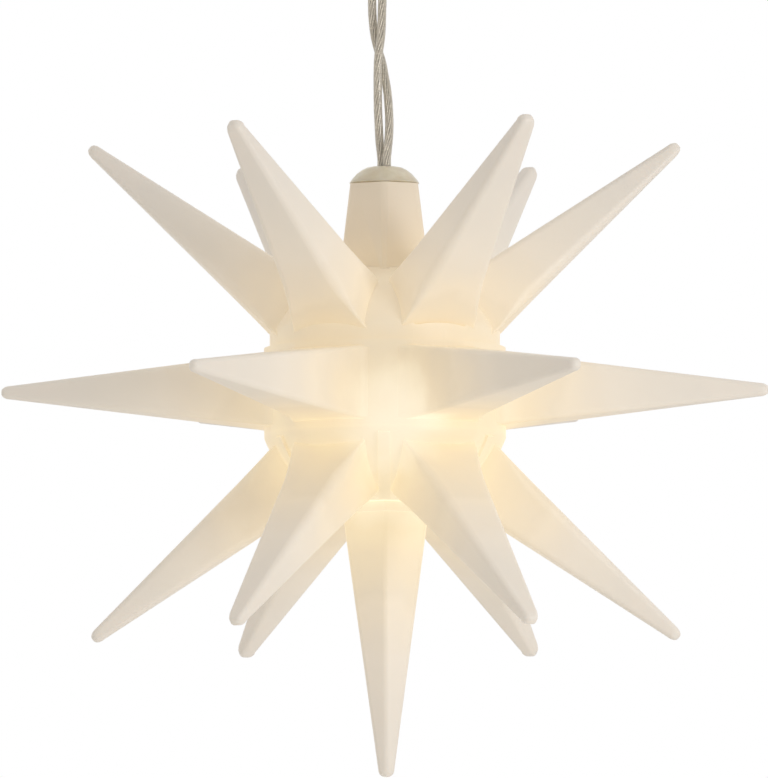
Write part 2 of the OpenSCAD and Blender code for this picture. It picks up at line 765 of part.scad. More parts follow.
module battery_case() {
    in_d = case_back_in - case_front + 1;
    slot_w = tenon_w + 2 * cover_gap;
    slot_d = eye_t - 2 * tenon_step + 2 * cover_gap;
    color("white")
        difference() {
            translate([0, 0, case_bottom])
                rounded_box(case_w, case_d, case_h, case_edge_r);
            difference() {
                translate([-case_in_w / 2, case_front - 1, cells_bottom])
                    cube([case_in_w, in_d, cells_h]);
                translate([-rib_between_w / 2, case_back_in - rib_between_h, cells_bottom + 1])
                    cube([rib_between_w, rib_between_h + 1, cells_h - 2]);
            }
            translate([-case_in_w / 2, case_front - 1, chamber_bottom])
                cube([case_in_w, in_d, chamber_h]);
            translate([-case_in_w / 2, case_front - 1, chamber_bottom])
                cube([case_in_w, case_wall + 1, case_top - chamber_bottom + 1]);
            translate([-case_in_w / 2 - groove_in, groove_y, chamber_bottom])
                cube([case_in_w + 2 * groove_in, cover_edge_t + cover_gap, case_top - chamber_bottom + 1]);
            translate([-slot_w / 2, -slot_d / 2, case_top - case_wall - 1])
                cube([slot_w, slot_d, case_wall + 2]);
            translate([0, 0, case_bottom - 1])
                cylinder(h = case_wall + 2, r = relief_r + fit_gap, $fn = small);
            lug_slot(-lug_x);
            lug_slot(lug_x);
        }
}

module cover_form(bottom, top) {
    translate([-cover_in_w / 2, case_front, bottom])
        cube([cover_in_w, case_wall - cover_gap, top - bottom]);
    translate([-cover_in_w / 2 - groove_in, groove_y + cover_gap, bottom])
        cube([cover_in_w + 2 * groove_in, cover_edge_t - cover_gap, top - bottom]);
}

module battery_cover() {
    color("white") {
        cover_form(cover_bottom, cover_top);
        for (k = [0:ridges - 1])
            translate([-ridge_w / 2, case_front - ridge_out, cover_top - ridge_down - k * ridge_pitch])
                cube([ridge_w, ridge_out + eps, ridge_h]);
    }
}

module switch_panel() {
    slot_w = knob_w + 2 * switch_step + 0.6;
    slot_h = knob_h + 0.4;
    color("white")
        difference() {
            cover_form(chamber_bottom, panel_top);
            translate([-slot_w / 2, case_front - 1, switch_z - slot_h / 2])
                cube([slot_w, case_wall + 2, slot_h]);
        }
}

module cell_form() {
    cylinder(h = cell_l, r = cell_d / 2, $fn = small);
    translate([0, 0, cell_l - eps])
        cylinder(h = button_l, r = button_d / 2, $fn = small);
}

module cell_1() {
    color("seagreen")
        translate([-cell_x, 0, cells_top - contact_t - spring_l])
            mirror([0, 0, 1])
                cell_form();
}

module cell_2() {
    color("seagreen")
        translate([cell_x, 0, cells_bottom + contact_t + spring_l])
            cell_form();
}

module contact_plate(x0, x1, z0) {
    color("silver")
        translate([x0, -contact_w / 2, z0])
            cube([x1 - x0, contact_w, contact_t]);
}

module bridge_contact() {
    contact_plate(-cell_x - contact_w / 2, cell_x + contact_w / 2, cells_top - contact_t);
}

// The tab of a contact, through the floor of the compartment and down the back of the board
module contact_lug(x) {
    lug_bottom = board_top - lug_on_board;
    color("silver")
        translate([x - lug_w / 2, board_back, lug_bottom])
            cube([lug_w, contact_t, cells_bottom + contact_t - lug_bottom]);
}

module positive_contact() {
    contact_plate(-cell_x - contact_w / 2, -cell_x + contact_w / 2, cells_bottom);
    contact_lug(-lug_x);
}

module negative_contact() {
    contact_plate(cell_x - contact_w / 2, cell_x + contact_w / 2, cells_bottom);
    contact_lug(lug_x);
}

// A cone spring that stands on z = 0, wound in one unbroken tube
module cone_spring() {
    steps = 10 * spring_turns;
    rise = spring_l - spring_wire;
    color("lightgray")
        tube([for (k = [0:steps]) let (r = spring_r + (spring_top_r - spring_r) * k / steps, a = 36 * k)
            [r * cos(a), r * sin(a), spring_wire / 2 + 0.05 + (rise - 0.1) * k / steps]], spring_wire / 2, 6);
}

module bridge_spring() {
    translate([-cell_x, 0, cells_top - contact_t])
        mirror([0, 0, 1])
            cone_spring();
}

module negative_spring() {
    translate([cell_x, 0, cells_bottom + contact_t])
        cone_spring();
}

module timer_board() {
    color("darkgreen")
        translate([-board_w / 2, board_front, board_bottom])
            cube([board_w, board_t, board_h]);
}

module timer_chip() {
    color("black")
        translate([-9, board_front - 1.3, board_bottom + 2])
            cube([3.9, 1.3, 4.9]);
}

module timer_crystal() {
    color("silver")
        translate([7, board_front - 1, board_bottom + 1])
            cylinder(h = 6, r = 1, $fn = 24);
}

module resistor() {
    color("tan")
        translate([-3.2, board_front - 0.9, board_bottom + 1.1])
            rotate([0, 90, 0])
                cylinder(h = 1.9, r = 0.8, $fn = 24);
}

module switch_body() {
    color("gray")
        translate([-switch_w / 2, switch_face, switch_z - switch_h / 2])
            difference() {
                cube([switch_w, switch_d, switch_h]);
                translate([switch_w / 2 - knob_w / 2 - switch_step - 0.2, -1, switch_h / 2 - knob_h / 2 - 0.2])
                    cube([knob_w + 2 * switch_step + 0.4, 2, knob_h + 0.4]);
            }
}

module switch_knob() {
    color("black")
        translate([-knob_w / 2, case_front - knob_out, switch_z - knob_h / 2])
            cube([knob_w, switch_face + 0.8 - case_front + knob_out, knob_h]);
}

module strain_relief() {
    color("ghostwhite")
        difference() {
            union() {
                translate([0, 0, relief_bottom])
                    cylinder(h = relief_l + case_wall + eps, r = relief_r, $fn = small);
                translate([0, 0, case_bottom - relief_flange_t])
                    cylinder(h = relief_flange_t, r = relief_flange_r, $fn = small);
                translate([0, 0, case_bottom + case_wall])
                    cylinder(h = relief_flange_t, r = relief_flange_r, $fn = small);
            }
            translate([0, 0, relief_bottom - eps])
                cylinder(h = mouth_l + eps, r1 = mouth_r, r2 = wire_off + wire_r + 0.1, $fn = small);
            for (side = [-1, 1])
                translate(turned(side, gland_turn))
                    translate([0, 0, relief_bottom])
                        cylinder(h = relief_l + case_wall + relief_flange_t + 1, r = wire_hole_r, $fn = small);
        }
}

// The wire inside the case, with its bare end bent to a pad on the back of the board
module box_wire(side) {
    strip_z = board_bottom + 1;
    bend_z = strip_z + 0.8;
    color("gainsboro")
        translate(turned(side, gland_turn)) {
            translate([0, 0, mouth_top])
                cylinder(h = strip_z - mouth_top, r = wire_r, $fn = 24);
            translate([0, 0, strip_z - eps])
                cylinder(h = bend_z - strip_z + eps, r = core_d / 2, $fn = 24);
            translate([0, 0, bend_z])
                sphere(r = core_d / 2, $fn = 24);
            translate([0, 0, bend_z])
                rotate([90, 0, 0])
                    cylinder(h = -board_back, r = core_d / 2, $fn = 24);
        }
}

upper_shell();
middle_ring();
lower_shell();
for (i = [1:count])
    upper_spike(i);
for (i = [1:count])
    level_spike(i);
for (i = [1:count])
    lower_spike(i);
bottom_spike();
neck_plug();
led_wire(1);  // led_wire_a
led_wire(-1);  // led_wire_b
heat_shrink();
led_lens();
led_anode();
led_cathode();
led_chip();
hanging_wire(1);  // hanging_wire_a
hanging_wire(-1);  // hanging_wire_b
hanging_loop();
battery_case();
battery_cover();
switch_panel();
cell_1();
cell_2();
bridge_contact();
bridge_spring();
positive_contact();
negative_contact();
negative_spring();
timer_board();
timer_chip();
timer_crystal();
resistor();
switch_body();
switch_knob();
strain_relief();
box_wire(1);  // box_wire_a
box_wire(-1);  // box_wire_b
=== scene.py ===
import math

import bmesh
import bpy
from mathutils import Matrix, Vector


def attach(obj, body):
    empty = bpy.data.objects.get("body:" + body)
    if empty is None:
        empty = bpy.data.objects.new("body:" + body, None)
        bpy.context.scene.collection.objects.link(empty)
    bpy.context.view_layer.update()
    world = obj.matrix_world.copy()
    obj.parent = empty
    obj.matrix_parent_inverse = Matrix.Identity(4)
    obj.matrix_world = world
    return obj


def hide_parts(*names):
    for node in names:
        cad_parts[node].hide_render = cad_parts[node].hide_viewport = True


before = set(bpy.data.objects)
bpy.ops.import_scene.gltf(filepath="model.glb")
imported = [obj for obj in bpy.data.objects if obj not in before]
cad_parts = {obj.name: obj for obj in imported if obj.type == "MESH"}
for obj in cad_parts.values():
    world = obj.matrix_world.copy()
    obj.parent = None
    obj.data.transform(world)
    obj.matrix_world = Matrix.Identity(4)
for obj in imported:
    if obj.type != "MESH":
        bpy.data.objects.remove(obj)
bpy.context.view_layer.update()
mm = 0.001

# Camera at the photograph's angle: a little below the star, looking slightly up with a long lens.
# The star's middle hangs 143.15 mm under the hanging eye; in the photo it is at star_pixel.
star_drop = 143.15
star_z = -star_drop * mm
star_middle = Vector((0, 0, star_z))
camera_yaw = math.radians(-0.53)
camera_tilt = math.radians(-4.55)
camera_roll = math.radians(0.2)
camera_distance = 2.6
pixels_per_metre = 6395
photo_wide, photo_high = 768, 778
star_pixel = (385.0, 391.2)
sensor = 36

level_right = Vector((math.cos(camera_yaw), -math.sin(camera_yaw), 0))
look = Vector((
    math.cos(camera_tilt) * math.sin(camera_yaw),
    math.cos(camera_tilt) * math.cos(camera_yaw),
    -math.sin(camera_tilt),
))
level_up = level_right.cross(look)
right = level_right * math.cos(camera_roll) - level_up * math.sin(camera_roll)
up = level_right * math.sin(camera_roll) + level_up * math.cos(camera_roll)
camera = bpy.data.objects.new("camera", bpy.data.cameras.new("camera"))
camera.data.sensor_width = sensor
camera.data.lens = pixels_per_metre * camera_distance * sensor / photo_high
camera.data.shift_x = (photo_wide / 2 - star_pixel[0]) / photo_high
camera.data.shift_y = (star_pixel[1] - photo_high / 2) / photo_high
camera.data.clip_end = 50
turn = Matrix((right, up, -look)).transposed().to_4x4()
camera.matrix_world = Matrix.Translation(star_middle - look * camera_distance) @ turn
bpy.context.scene.collection.objects.link(camera)
bpy.context.scene.camera = camera
bpy.context.scene.view_settings.view_transform = "Standard"

# Hanging wires: two single wires, clear soft PVC drawn over a core of seven tinned copper strands.
# They leave the plug side by side, cross and go up into the strain relief of the battery case. The
# route gives heights over the plug and shifts along X in mm, and turns of the pair in degrees.
wire_d = 1.34 * mm
wire_off = 0.85 * mm
plug_top = -107.85
hang_route = [
    (0, 0, -240), (1.4, 0, -240), (4, 0, -214), (6.5, 0, -192), (9, -0.1, -176),
    (11.5, -0.2, -153), (14, -0.4, -131), (16.5, -0.6, -110), (18.5, -0.8, -82),
    (20.5, -0.9, -54), (23, -1, -33), (26, -1, -18), (29, -0.8, -6), (32, -0.4, 0),
    (35.6, 0, 0), (37, 0, 0),
]
strand_d = 0.3 * mm
strand_gap = 1.02
strand_lay = 11 * mm


def linear(code):
    """An sRGB hex colour as linear RGBA."""
    parts = [int(code[i:i + 2], 16) / 255 for i in (1, 3, 5)]
    return [p / 12.92 if p <= 0.04045 else ((p + 0.055) / 1.055) ** 2.4 for p in parts] + [1]


def add(tree, kind, sockets=None, stops=None, **settings):
    """Adds a node; a socket given another node's output is linked, any other value is set.
    The stops of a colour ramp are places and hex colours."""
    node = tree.nodes.new(kind)
    for name, value in settings.items():
        setattr(node, name, value)
    for name, value in (sockets or {}).items():
        if isinstance(value, bpy.types.NodeSocket):
            tree.links.new(value, node.inputs[name])
        else:
            node.inputs[name].default_value = value
    if stops:
        ramp = node.color_ramp.elements
        for end, (spot, code) in ((ramp[0], stops[0]), (ramp[1], stops[-1])):
            end.position = spot
            end.color = linear(code)
        for spot, code in stops[1:-1]:
            ramp.new(spot).color = linear(code)
    return node


def surface(name, **fixed):
    """An empty material with its shader, whose fixed values are set on the shader's own sockets."""
    material = bpy.data.materials.new(name)
    material.use_nodes = True
    tree = material.node_tree
    tree.nodes.clear()
    sockets = {key.replace("_", " "): value for key, value in fixed.items()}
    shader = add(tree, "ShaderNodeBsdfPrincipled", sockets)
    add(tree, "ShaderNodeOutputMaterial", {"Surface": shader.outputs[0]})
    return material, tree, shader


def piece(name, mesh, material, body, slot, *nodes):
    """A finished piece: its object at the origin, its material, its body and what it stands for."""
    thing = bpy.data.objects.new(name, mesh)
    bpy.context.scene.collection.objects.link(thing)
    mesh.materials.append(material)
    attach(thing, body)
    if nodes:
        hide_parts(*nodes)
    return thing


def smooth_route(points, steps):
    """A smooth line through points with the given steps between two of them."""
    ends = [points[0] * 2 - points[1]] + points + [points[-1] * 2 - points[-2]]
    line = []
    for k in range(1, len(ends) - 2):
        a, b, c, d = ends[k - 1:k + 3]
        for s in range(steps):
            t = s / steps
            line.append(0.5 * (2 * b + (c - a) * t + (2 * a - 5 * b + 4 * c - d) * t * t
                               + (3 * b - a - 3 * c + d) * t ** 3))
    return line + [points[-1]]


def strand(route, k):
    """The line of one of the seven strands: six are laid round the seventh."""
    away = 0 if k == 6 else strand_d * strand_gap
    run = 0
    line = []
    for before, here, after in zip(route[:1] + route, route, route[1:] + route[-1:]):
        run += (here - before).length
        ahead = (after - before).normalized()
        across = ahead.cross(Vector((0, 1, 0))).normalized()
        turned = math.tau * (k / 6 + run / strand_lay)
        aside = across * math.cos(turned) + ahead.cross(across) * math.sin(turned)
        line.append(here + away * aside)
    return line


def tube(name, routes, diameter, rings):
    """A curve with a round closed tube along each route."""
    curve = bpy.data.curves.new(name, "CURVE")
    curve.dimensions = "3D"
    curve.bevel_depth = diameter / 2
    curve.bevel_resolution = rings
    curve.use_fill_caps = True
    for route in routes:
        spline = curve.splines.new("POLY")
        spline.points.add(len(route) - 1)
        for point, spot in zip(spline.points, route):
            point.co = (*spot, 1)
        spline.use_smooth = True
    return curve


# Clear plasticised PVC: glassy with a faint warm cast, and fine lengthwise lines from the die,
# drawn 0.25 mm apart, coarser than the real ones, so that they show.
wire_pvc, tree, shader = surface(
    "clear_pvc_extruded_wire_insulation",
    Base_Color=linear("#ece6da"), Roughness=0.14, IOR=1.53, Transmission_Weight=0.8)
place = add(tree, "ShaderNodeTexCoord")
lines = add(tree, "ShaderNodeMapping",
            {"Vector": place.outputs["Object"], "Scale": (4000, 4000, 60)})
wave = add(tree, "ShaderNodeTexNoise", {"Vector": lines.outputs[0], "Scale": 1.0, "Detail": 2.0})
bump = add(tree, "ShaderNodeBump",
           {"Height": wave.outputs[0], "Strength": 0.35, "Distance": 0.08 * mm})
tree.links.new(bump.outputs[0], shader.inputs["Normal"])

# Tinned copper strand: soft grey metal, dulled by the hot tin dip.
strand_metal, tree, shader = surface("tinned_copper_strand", Metallic=1.0, Roughness=0.34)
place = add(tree, "ShaderNodeTexCoord")
dull = add(tree, "ShaderNodeTexNoise",
           {"Vector": place.outputs["Object"], "Scale": 2500.0, "Detail": 3.0})
tint = add(tree, "ShaderNodeValToRGB", {"Fac": dull.outputs[0]},
           stops=[(0.3, "#c4beb3"), (0.7, "#efeae1")])
tree.links.new(tint.outputs[0], shader.inputs["Base Color"])

for letter, side in (("a", 1), ("b", -1)):
    points = [Vector((x * mm + side * wire_off * math.cos(math.radians(turned)),
                      side * wire_off * math.sin(math.radians(turned)),
                      (plug_top + height) * mm)) for height, x, turned in hang_route]
    route = smooth_route(points, 2)
    length = sum((b - a).length for a, b in zip(route, route[1:]))
    fine = smooth_route(points, 6)
    core = tube("wire_core_" + letter, [strand(fine, k) for k in range(7)], strand_d, 1)
    core = piece("wire_core_" + letter, core, strand_metal, "lamp", "led_metal")
    wire = piece("clear_wire_" + letter, tube("clear_wire_" + letter, [route], wire_d, 5), wire_pvc,
                 "lamp", "wire_pvc", "hanging_wire_" + letter)

# Studio: a pale plain floor well under the star, a white surround for the camera and the gloss,
# soft light all round, a soft lamp near the right front and a larger, weaker one on the left.
floor_z = -0.8
floor_half = 6


def finished(bm, name, smooth=True, sharp=None):
    """A bmesh as a mesh; on a smooth one, edges over the sharp angle in degrees stay crisp."""
    if smooth:
        for face in bm.faces:
            face.smooth = True
    mesh = bpy.data.meshes.new(name)
    bm.to_mesh(mesh)
    bm.free()
    if sharp:
        mesh.set_sharp_from_angle(angle=math.radians(sharp))
    return mesh


bm = bmesh.new()
bmesh.ops.create_grid(bm, x_segments=1, y_segments=1, size=floor_half)
bmesh.ops.translate(bm, verts=bm.verts, vec=(0, 0, floor_z))
mesh = finished(bm, "floor", smooth=False)
paper, tree, shader = surface("pale_matt_paper", Base_Color=linear("#f9f8f6"), Roughness=0.9)
mesh.materials.append(paper)
floor = bpy.data.objects.new("floor", mesh)
bpy.context.scene.collection.objects.link(floor)

world = bpy.data.worlds.new("studio")
world.use_nodes = True
bpy.context.scene.world = world
tree = world.node_tree
tree.nodes.clear()
rays = add(tree, "ShaderNodeLightPath")
seen = add(tree, "ShaderNodeMath",
           {0: rays.outputs["Is Camera Ray"], 1: rays.outputs["Is Glossy Ray"]},
           operation="MAXIMUM")
seen = add(tree, "ShaderNodeMath",
           {0: seen.outputs[0], 1: rays.outputs["Is Transmission Ray"]}, operation="MAXIMUM")
toward = add(tree, "ShaderNodeTexCoord")
height = add(tree, "ShaderNodeSeparateXYZ", {0: toward.outputs["Generated"]})
dome = add(tree, "ShaderNodeMapRange",
           {"Value": height.outputs["Z"], "From Min": -0.1, "From Max": 1.0, "To Min": 0.24,
            "To Max": 0.95})
soft = add(tree, "ShaderNodeBackground", {"Color": linear("#fffdfa"), "Strength": dome.outputs[0]})
white = add(tree, "ShaderNodeBackground", {"Color": linear("#ffffff"), "Strength": 1.0})
both = add(tree, "ShaderNodeMixShader",
           {0: seen.outputs[0], 1: soft.outputs[0], 2: white.outputs[0]})
add(tree, "ShaderNodeOutputWorld", {"Surface": both.outputs[0]})


def softbox(name, place, size, power, colour):
    """A square soft lamp that looks at the star."""
    lamp = bpy.data.lights.new(name, "AREA")
    lamp.shape = "SQUARE"
    lamp.size = size
    lamp.energy = power
    lamp.color = linear(colour)[:3]
    thing = bpy.data.objects.new(name, lamp)
    thing.location = place
    thing.visible_camera = False
    thing.rotation_euler = (star_middle - Vector(place)).to_track_quat("-Z", "Y").to_euler()
    bpy.context.scene.collection.objects.link(thing)


softbox("lamp_right", (0.5, -0.45, -0.2), 0.25, 1.4, "#ffffff")
softbox("lamp_left", (-0.8, -0.35, -0.28), 0.4, 0.55, "#fffdf8")

# Star plastic: milky polypropylene, moulded against a finely spark-eroded mould, so satin. The
# LED's light coming through it is painted as an emission: a painted glow, warm round the LED, that
# fades out to the tips of the spikes over a distance that drifts by 1.6 mm where the wall is
# uneven. The body colour darkens towards the LED, so that the painted glow outweighs the lamps'
# shading there.
painted_glow_middle = (1.2 * mm, -2 * mm, star_z - 6.5 * mm)
glow_drift = 1.6 * mm
star_pp, tree, shader = surface(
    "milky_polypropylene_satin_painted_glow",
    Roughness=0.42, IOR=1.49, Specular_IOR_Level=0.35, Emission_Strength=1.0,
    Subsurface_Weight=0.16, Subsurface_Radius=(0.0034, 0.003, 0.0026), Subsurface_Scale=0.6)
place = add(tree, "ShaderNodeTexCoord")
middle = add(tree, "ShaderNodeVectorMath", {0: place.outputs["Object"], 1: painted_glow_middle},
             operation="SUBTRACT")
reach = add(tree, "ShaderNodeVectorMath", {0: middle.outputs[0]}, operation="LENGTH")
haze = add(tree, "ShaderNodeTexNoise",
           {"Vector": place.outputs["Object"], "Scale": 140.0, "Detail": 3.0})
drift = add(tree, "ShaderNodeMapRange", {"Value": haze.outputs[0], "From Min": 0.3, "From Max": 0.7,
                                         "To Min": -glow_drift, "To Max": glow_drift})
near = add(tree, "ShaderNodeMath", {0: reach.outputs["Value"], 1: drift.outputs[0]},
           operation="ADD")
far = add(tree, "ShaderNodeMapRange",
          {"Value": near.outputs[0], "From Min": 12 * mm, "From Max": 60 * mm})
body = add(tree, "ShaderNodeValToRGB", {"Fac": far.outputs[0]},
           stops=[(0.02, "#958b7c"), (0.12, "#c0b4a2"), (0.34, "#e9dfd0"), (0.5, "#ede5da"),
                  (0.95, "#ece4da")])
painted_glow = add(tree, "ShaderNodeValToRGB", {"Fac": far.outputs[0]},
           stops=[(0.0, "#e7d8b8"), (0.09, "#c4b490"), (0.17, "#a6987a"), (0.3, "#74684f"),
                  (0.44, "#564a34"), (0.62, "#3d3422"), (0.95, "#000000")])

# Painted hot spot: the painted glow is brightest low on the front of the band, where the LED is
# nearest to the wall, and the body colour is darkened there so that this painted light outweighs
# the shading.
painted_hot_spot_middle = (1.5 * mm, -17 * mm, star_z - 4.8 * mm)
front = add(tree, "ShaderNodeVectorMath", {0: place.outputs["Object"], 1: painted_hot_spot_middle},
            operation="SUBTRACT")
front = add(tree, "ShaderNodeVectorMath", {0: front.outputs[0]}, operation="LENGTH")
front = add(tree, "ShaderNodeMath", {0: front.outputs["Value"], 1: drift.outputs[0]},
            operation="ADD")
hot = add(tree, "ShaderNodeMapRange",
          {"Value": front.outputs[0], "From Min": 11 * mm, "From Max": 2 * mm},
          interpolation_type="SMOOTHSTEP")
body = add(tree, "ShaderNodeMix",
           {0: hot.outputs[0], 6: body.outputs[0], 7: linear("#7c7365")}, data_type="RGBA")
painted_glow = add(tree, "ShaderNodeMix",
           {0: hot.outputs[0], 6: painted_glow.outputs[0], 7: linear("#ecdfc5")}, data_type="RGBA")

# Painted shade: the plastic of the neck, and of the dome round its foot, is darkened a little and
# warmed.
split = add(tree, "ShaderNodeSeparateXYZ", {0: place.outputs["Object"]})
across = add(tree, "ShaderNodeCombineXYZ", {0: split.outputs["X"], 1: split.outputs["Y"]})
across = add(tree, "ShaderNodeVectorMath", {0: across.outputs[0]}, operation="LENGTH")
inside = add(tree, "ShaderNodeMapRange",
             {"Value": across.outputs["Value"], "From Min": 13 * mm, "From Max": 8 * mm},
             interpolation_type="SMOOTHSTEP")
above = add(tree, "ShaderNodeMapRange",
            {"Value": split.outputs["Z"], "From Min": star_z + 10 * mm,
             "From Max": star_z + 22 * mm}, interpolation_type="SMOOTHSTEP")
neck = add(tree, "ShaderNodeMath", {0: inside.outputs[0], 1: above.outputs[0]},
           operation="MULTIPLY")
body = add(tree, "ShaderNodeMix", {0: neck.outputs[0], 6: body.outputs[2], 7: linear("#f7f2ea")},
           data_type="RGBA", blend_type="MULTIPLY")
grain = add(tree, "ShaderNodeTexNoise",
            {"Vector": place.outputs["Object"], "Scale": 3200.0, "Detail": 2.0})
bump = add(tree, "ShaderNodeBump",
           {"Height": grain.outputs[0], "Strength": 0.25, "Distance": 0.04 * mm})
tree.links.new(body.outputs[2], shader.inputs["Base Color"])
tree.links.new(painted_glow.outputs[2], shader.inputs["Emission Color"])
tree.links.new(bump.outputs[0], shader.inputs["Normal"])


# Middle ring and lower shell: the other two parts of the core, in the same plastic. Every moulded
# edge is softly rounded, drawn on copies of the solids.
def joined_copy(node, flat):
    """A copy of a solid with its loose triangles joined, also into faces flat to that angle."""
    bm = bmesh.new()
    bm.from_mesh(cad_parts[node].data)
    bmesh.ops.remove_doubles(bm, verts=bm.verts, dist=0.002 * mm)
    bmesh.ops.dissolve_limit(bm, angle_limit=math.radians(flat), verts=bm.verts, edges=bm.edges)
    return bm


def moulded(node, mesh, material, body, slot, radius=0):
    """A moulded piece that stands for a solid, with its edges rounded to a radius."""
    thing = piece("moulded_" + node, mesh, material, body, slot, node)
    if radius:
        rounded = thing.modifiers.new("rounded_edges", "BEVEL")
        rounded.width = radius
        rounded.segments = 3
        rounded.limit_method = "ANGLE"
        rounded.angle_limit = math.radians(35)
    thing.modifiers.new("even_faces", "WEIGHTED_NORMAL").keep_sharp = True


for node in ("middle_ring", "lower_shell"):
    mesh = finished(joined_copy(node, 0.5), "moulded_" + node)
    moulded(node, mesh, star_pp, "star", "star_plastic", radius=0.4 * mm)

# Ring spikes: eighteen hollow four sided spikes, moulded one by one and pushed through the windows
# of the core from inside, where two ears hold them. The tilted ones are broader and more rounded on
# the side that faces the level ring. Three spikes sit a little off the regular pattern.
spike_wall = 0.9
tip_reach = 60.0
tip_round = 1.5
tip_corner = 0.75
hollow_end = 50.0
window_corner = 0.5
square_until = 27.0
foot_rise = 0.3
ear_thick, ear_wide = 0.9, 3.4
ear_over, ear_behind, ear_inset = 0.4, 0.15, 0.8
level_form = {"wide": 11.26, "high": 11.26, "shift": 0.0, "root": 15.07, "taper": 18.9,
              "tip": (2.1, 2.1), "rounds": (0.9, 0.9), "flare": (2.9, 16.6, 22.5, 0.0),
              "broader_below": 0.0}
upper_form = {"wide": 11.3, "high": 9.96, "shift": 0.7, "root": 16.96, "taper": 20.3,
              "tip": (2.7, 2.1), "rounds": (2.1, 1.0), "flare": (1.3, 17.2, 23.0, 0.7),
              "broader_below": 0.1}
lower_form = {"wide": 11.3, "high": 9.96, "shift": -0.7, "root": 16.96, "taper": 20.3,
              "tip": (2.7, 2.1), "rounds": (1.0, 2.1), "flare": (1.3, 17.2, 23.0, -0.7),
              "broader_below": -0.1}
rows = (("upper", upper_form, 39.8), ("level", level_form, 0.0), ("lower", lower_form, -40.3))
seated = {"upper_spike_6": (0.0, 1.2, 1.0), "upper_spike_5": (0.0, 0.2, 1.0),
          "level_spike_5": (0.8, 0.0, 0.993)}


def blunt_end(bm, face, length):
    """Rounds off the end of a spike: its end face goes out in short steps and shrinks."""
    way = face.normal.copy()
    for step in range(1, 7):
        before, after = math.radians(15 * step - 15), math.radians(15 * step)
        face = bmesh.ops.extrude_discrete_faces(bm, faces=[face])["faces"][0]
        share = (0.2 + 0.8 * math.cos(after)) / (0.2 + 0.8 * math.cos(before))
        onward = Matrix.Translation(way * length * (math.sin(after) - math.sin(before)))
        bmesh.ops.transform(bm, verts=face.verts, matrix=onward @ Matrix.Scale(share, 4),
                            space=Matrix.Translation(-face.calc_center_median()))


def cut(bm, x):
    """Cuts a loop of edges across a bar that lies along X."""
    bmesh.ops.bisect_plane(bm, geom=bm.verts[:] + bm.edges[:] + bm.faces[:],
                           plane_co=(x, 0, 0), plane_no=(1, 0, 0))


def corner_angle(y, z, half_w, half_h, radius):
    """How far round its corner a point of a rounded rectangle lies."""
    return math.atan2(abs(z) - half_h + radius, abs(y) - half_w + radius)


def on_corner(y, z, half_w, half_h, radius, angle):
    """The point as far round the same corner of a rounded rectangle of another size."""
    return (math.copysign(half_w - radius * (1 - math.cos(angle)), y),
            math.copysign(half_h - radius * (1 - math.sin(angle)), z))


def spike_bar(form):
    """A bar with four rounded edges that thins from the window to the tip, cut for its foot."""
    wide, high, root = form["wide"], form["high"], form["root"]
    taper, lift = form["taper"], form["shift"]
    bm = bmesh.new()
    bmesh.ops.create_cube(bm, size=1)
    bmesh.ops.scale(bm, verts=bm.verts, vec=(tip_reach - tip_round - root, wide, high))
    bmesh.ops.translate(bm, verts=bm.verts, vec=((tip_reach - tip_round + root) / 2, 0, lift))
    for above in (False, True):
        edges = [e for e in bm.edges if abs(e.verts[0].co.x - e.verts[1].co.x) > 1
                 and (e.verts[0].co.z > lift) == above
                 and abs(e.verts[0].co.y) > wide / 2 - 0.001]
        bmesh.ops.bevel(bm, geom=edges, offset=form["rounds"][above], segments=6, profile=0.5,
                        affect="EDGES", material=-1)
    cut(bm, taper)
    for vert in bm.verts:
        if vert.co.x > tip_reach - 2:
            y, z = vert.co.y, vert.co.z - lift
            angle = corner_angle(y, z, wide / 2, high / 2, form["rounds"][z > 0])
            vert.co.y, vert.co.z = on_corner(y, z, form["tip"][0] / 2, form["tip"][1] / 2,
                                             tip_corner, angle)
    inner = form["flare"][1]
    for step in range(9):
        cut(bm, inner + (square_until - inner) * step / 8)
    bm.normal_update()
    return bm


def hollow_out(bm, form):
    """Sinks the back face of a spike into it, straight to the taper and then to a point."""
    wide, high, root = form["wide"], form["high"], form["root"]
    taper, lift = form["taper"], form["shift"]
    bm.faces.ensure_lookup_table()
    back = min(bm.faces, key=lambda f: f.calc_center_median().x)
    bmesh.ops.inset_region(bm, faces=[back], thickness=spike_wall, use_even_offset=True)
    back = bmesh.ops.extrude_discrete_faces(bm, faces=[back])["faces"][0]
    bmesh.ops.translate(bm, verts=back.verts, vec=(taper - root, 0, 0))
    back = bmesh.ops.extrude_discrete_faces(bm, faces=[back])["faces"][0]
    share = (hollow_end - taper) / (tip_reach - taper)
    shrink = [((size + (tip_size - size) * share) - 2 * spike_wall) / (size - 2 * spike_wall)
              for size, tip_size in ((wide, form["tip"][0]), (high, form["tip"][1]))]
    bmesh.ops.translate(bm, verts=back.verts, vec=-back.calc_center_median())
    bmesh.ops.scale(bm, verts=back.verts, vec=(1, *shrink))
    bmesh.ops.translate(bm, verts=back.verts, vec=(hollow_end, 0, lift * (1 - share)))


def shape_skin(verts, form):
    """Gives the outside its square edges in the window, its flared foot and its broader side."""
    wide, high, taper, lift = form["wide"], form["high"], form["taper"], form["shift"]
    out, inner, outer, lean = form["flare"]
    for vert in verts:
        x, y, z = vert.co
        run = max(0, (x - taper) / (tip_reach - tip_round - taper))
        half_w = (wide + (form["tip"][0] - wide) * run) / 2
        half_h = (high + (form["tip"][1] - high) * run) / 2
        z -= lift * (1 - run)
        radius = form["rounds"][z > 0]
        radius += (tip_corner - radius) * run
        angle = corner_angle(y, z, half_w, half_h, radius)
        if x < square_until:
            share = max(0, (x - taper) / (square_until - taper))
            radius = window_corner + (radius - window_corner) * share
        along = min(1, max(0, (outer - x) / (outer - inner)))
        foot = 1 - math.sqrt(1 - along * along)
        half_w += out * (1 - 0.5 * abs(lean) - lean * z / high) * foot
        half_w *= 1 - form["broader_below"] * z / half_h
        half_h += foot_rise * foot
        y, z = on_corner(y, z, half_w, half_h, radius, angle)
        vert.co.y, vert.co.z = y, z + lift * (1 - run)


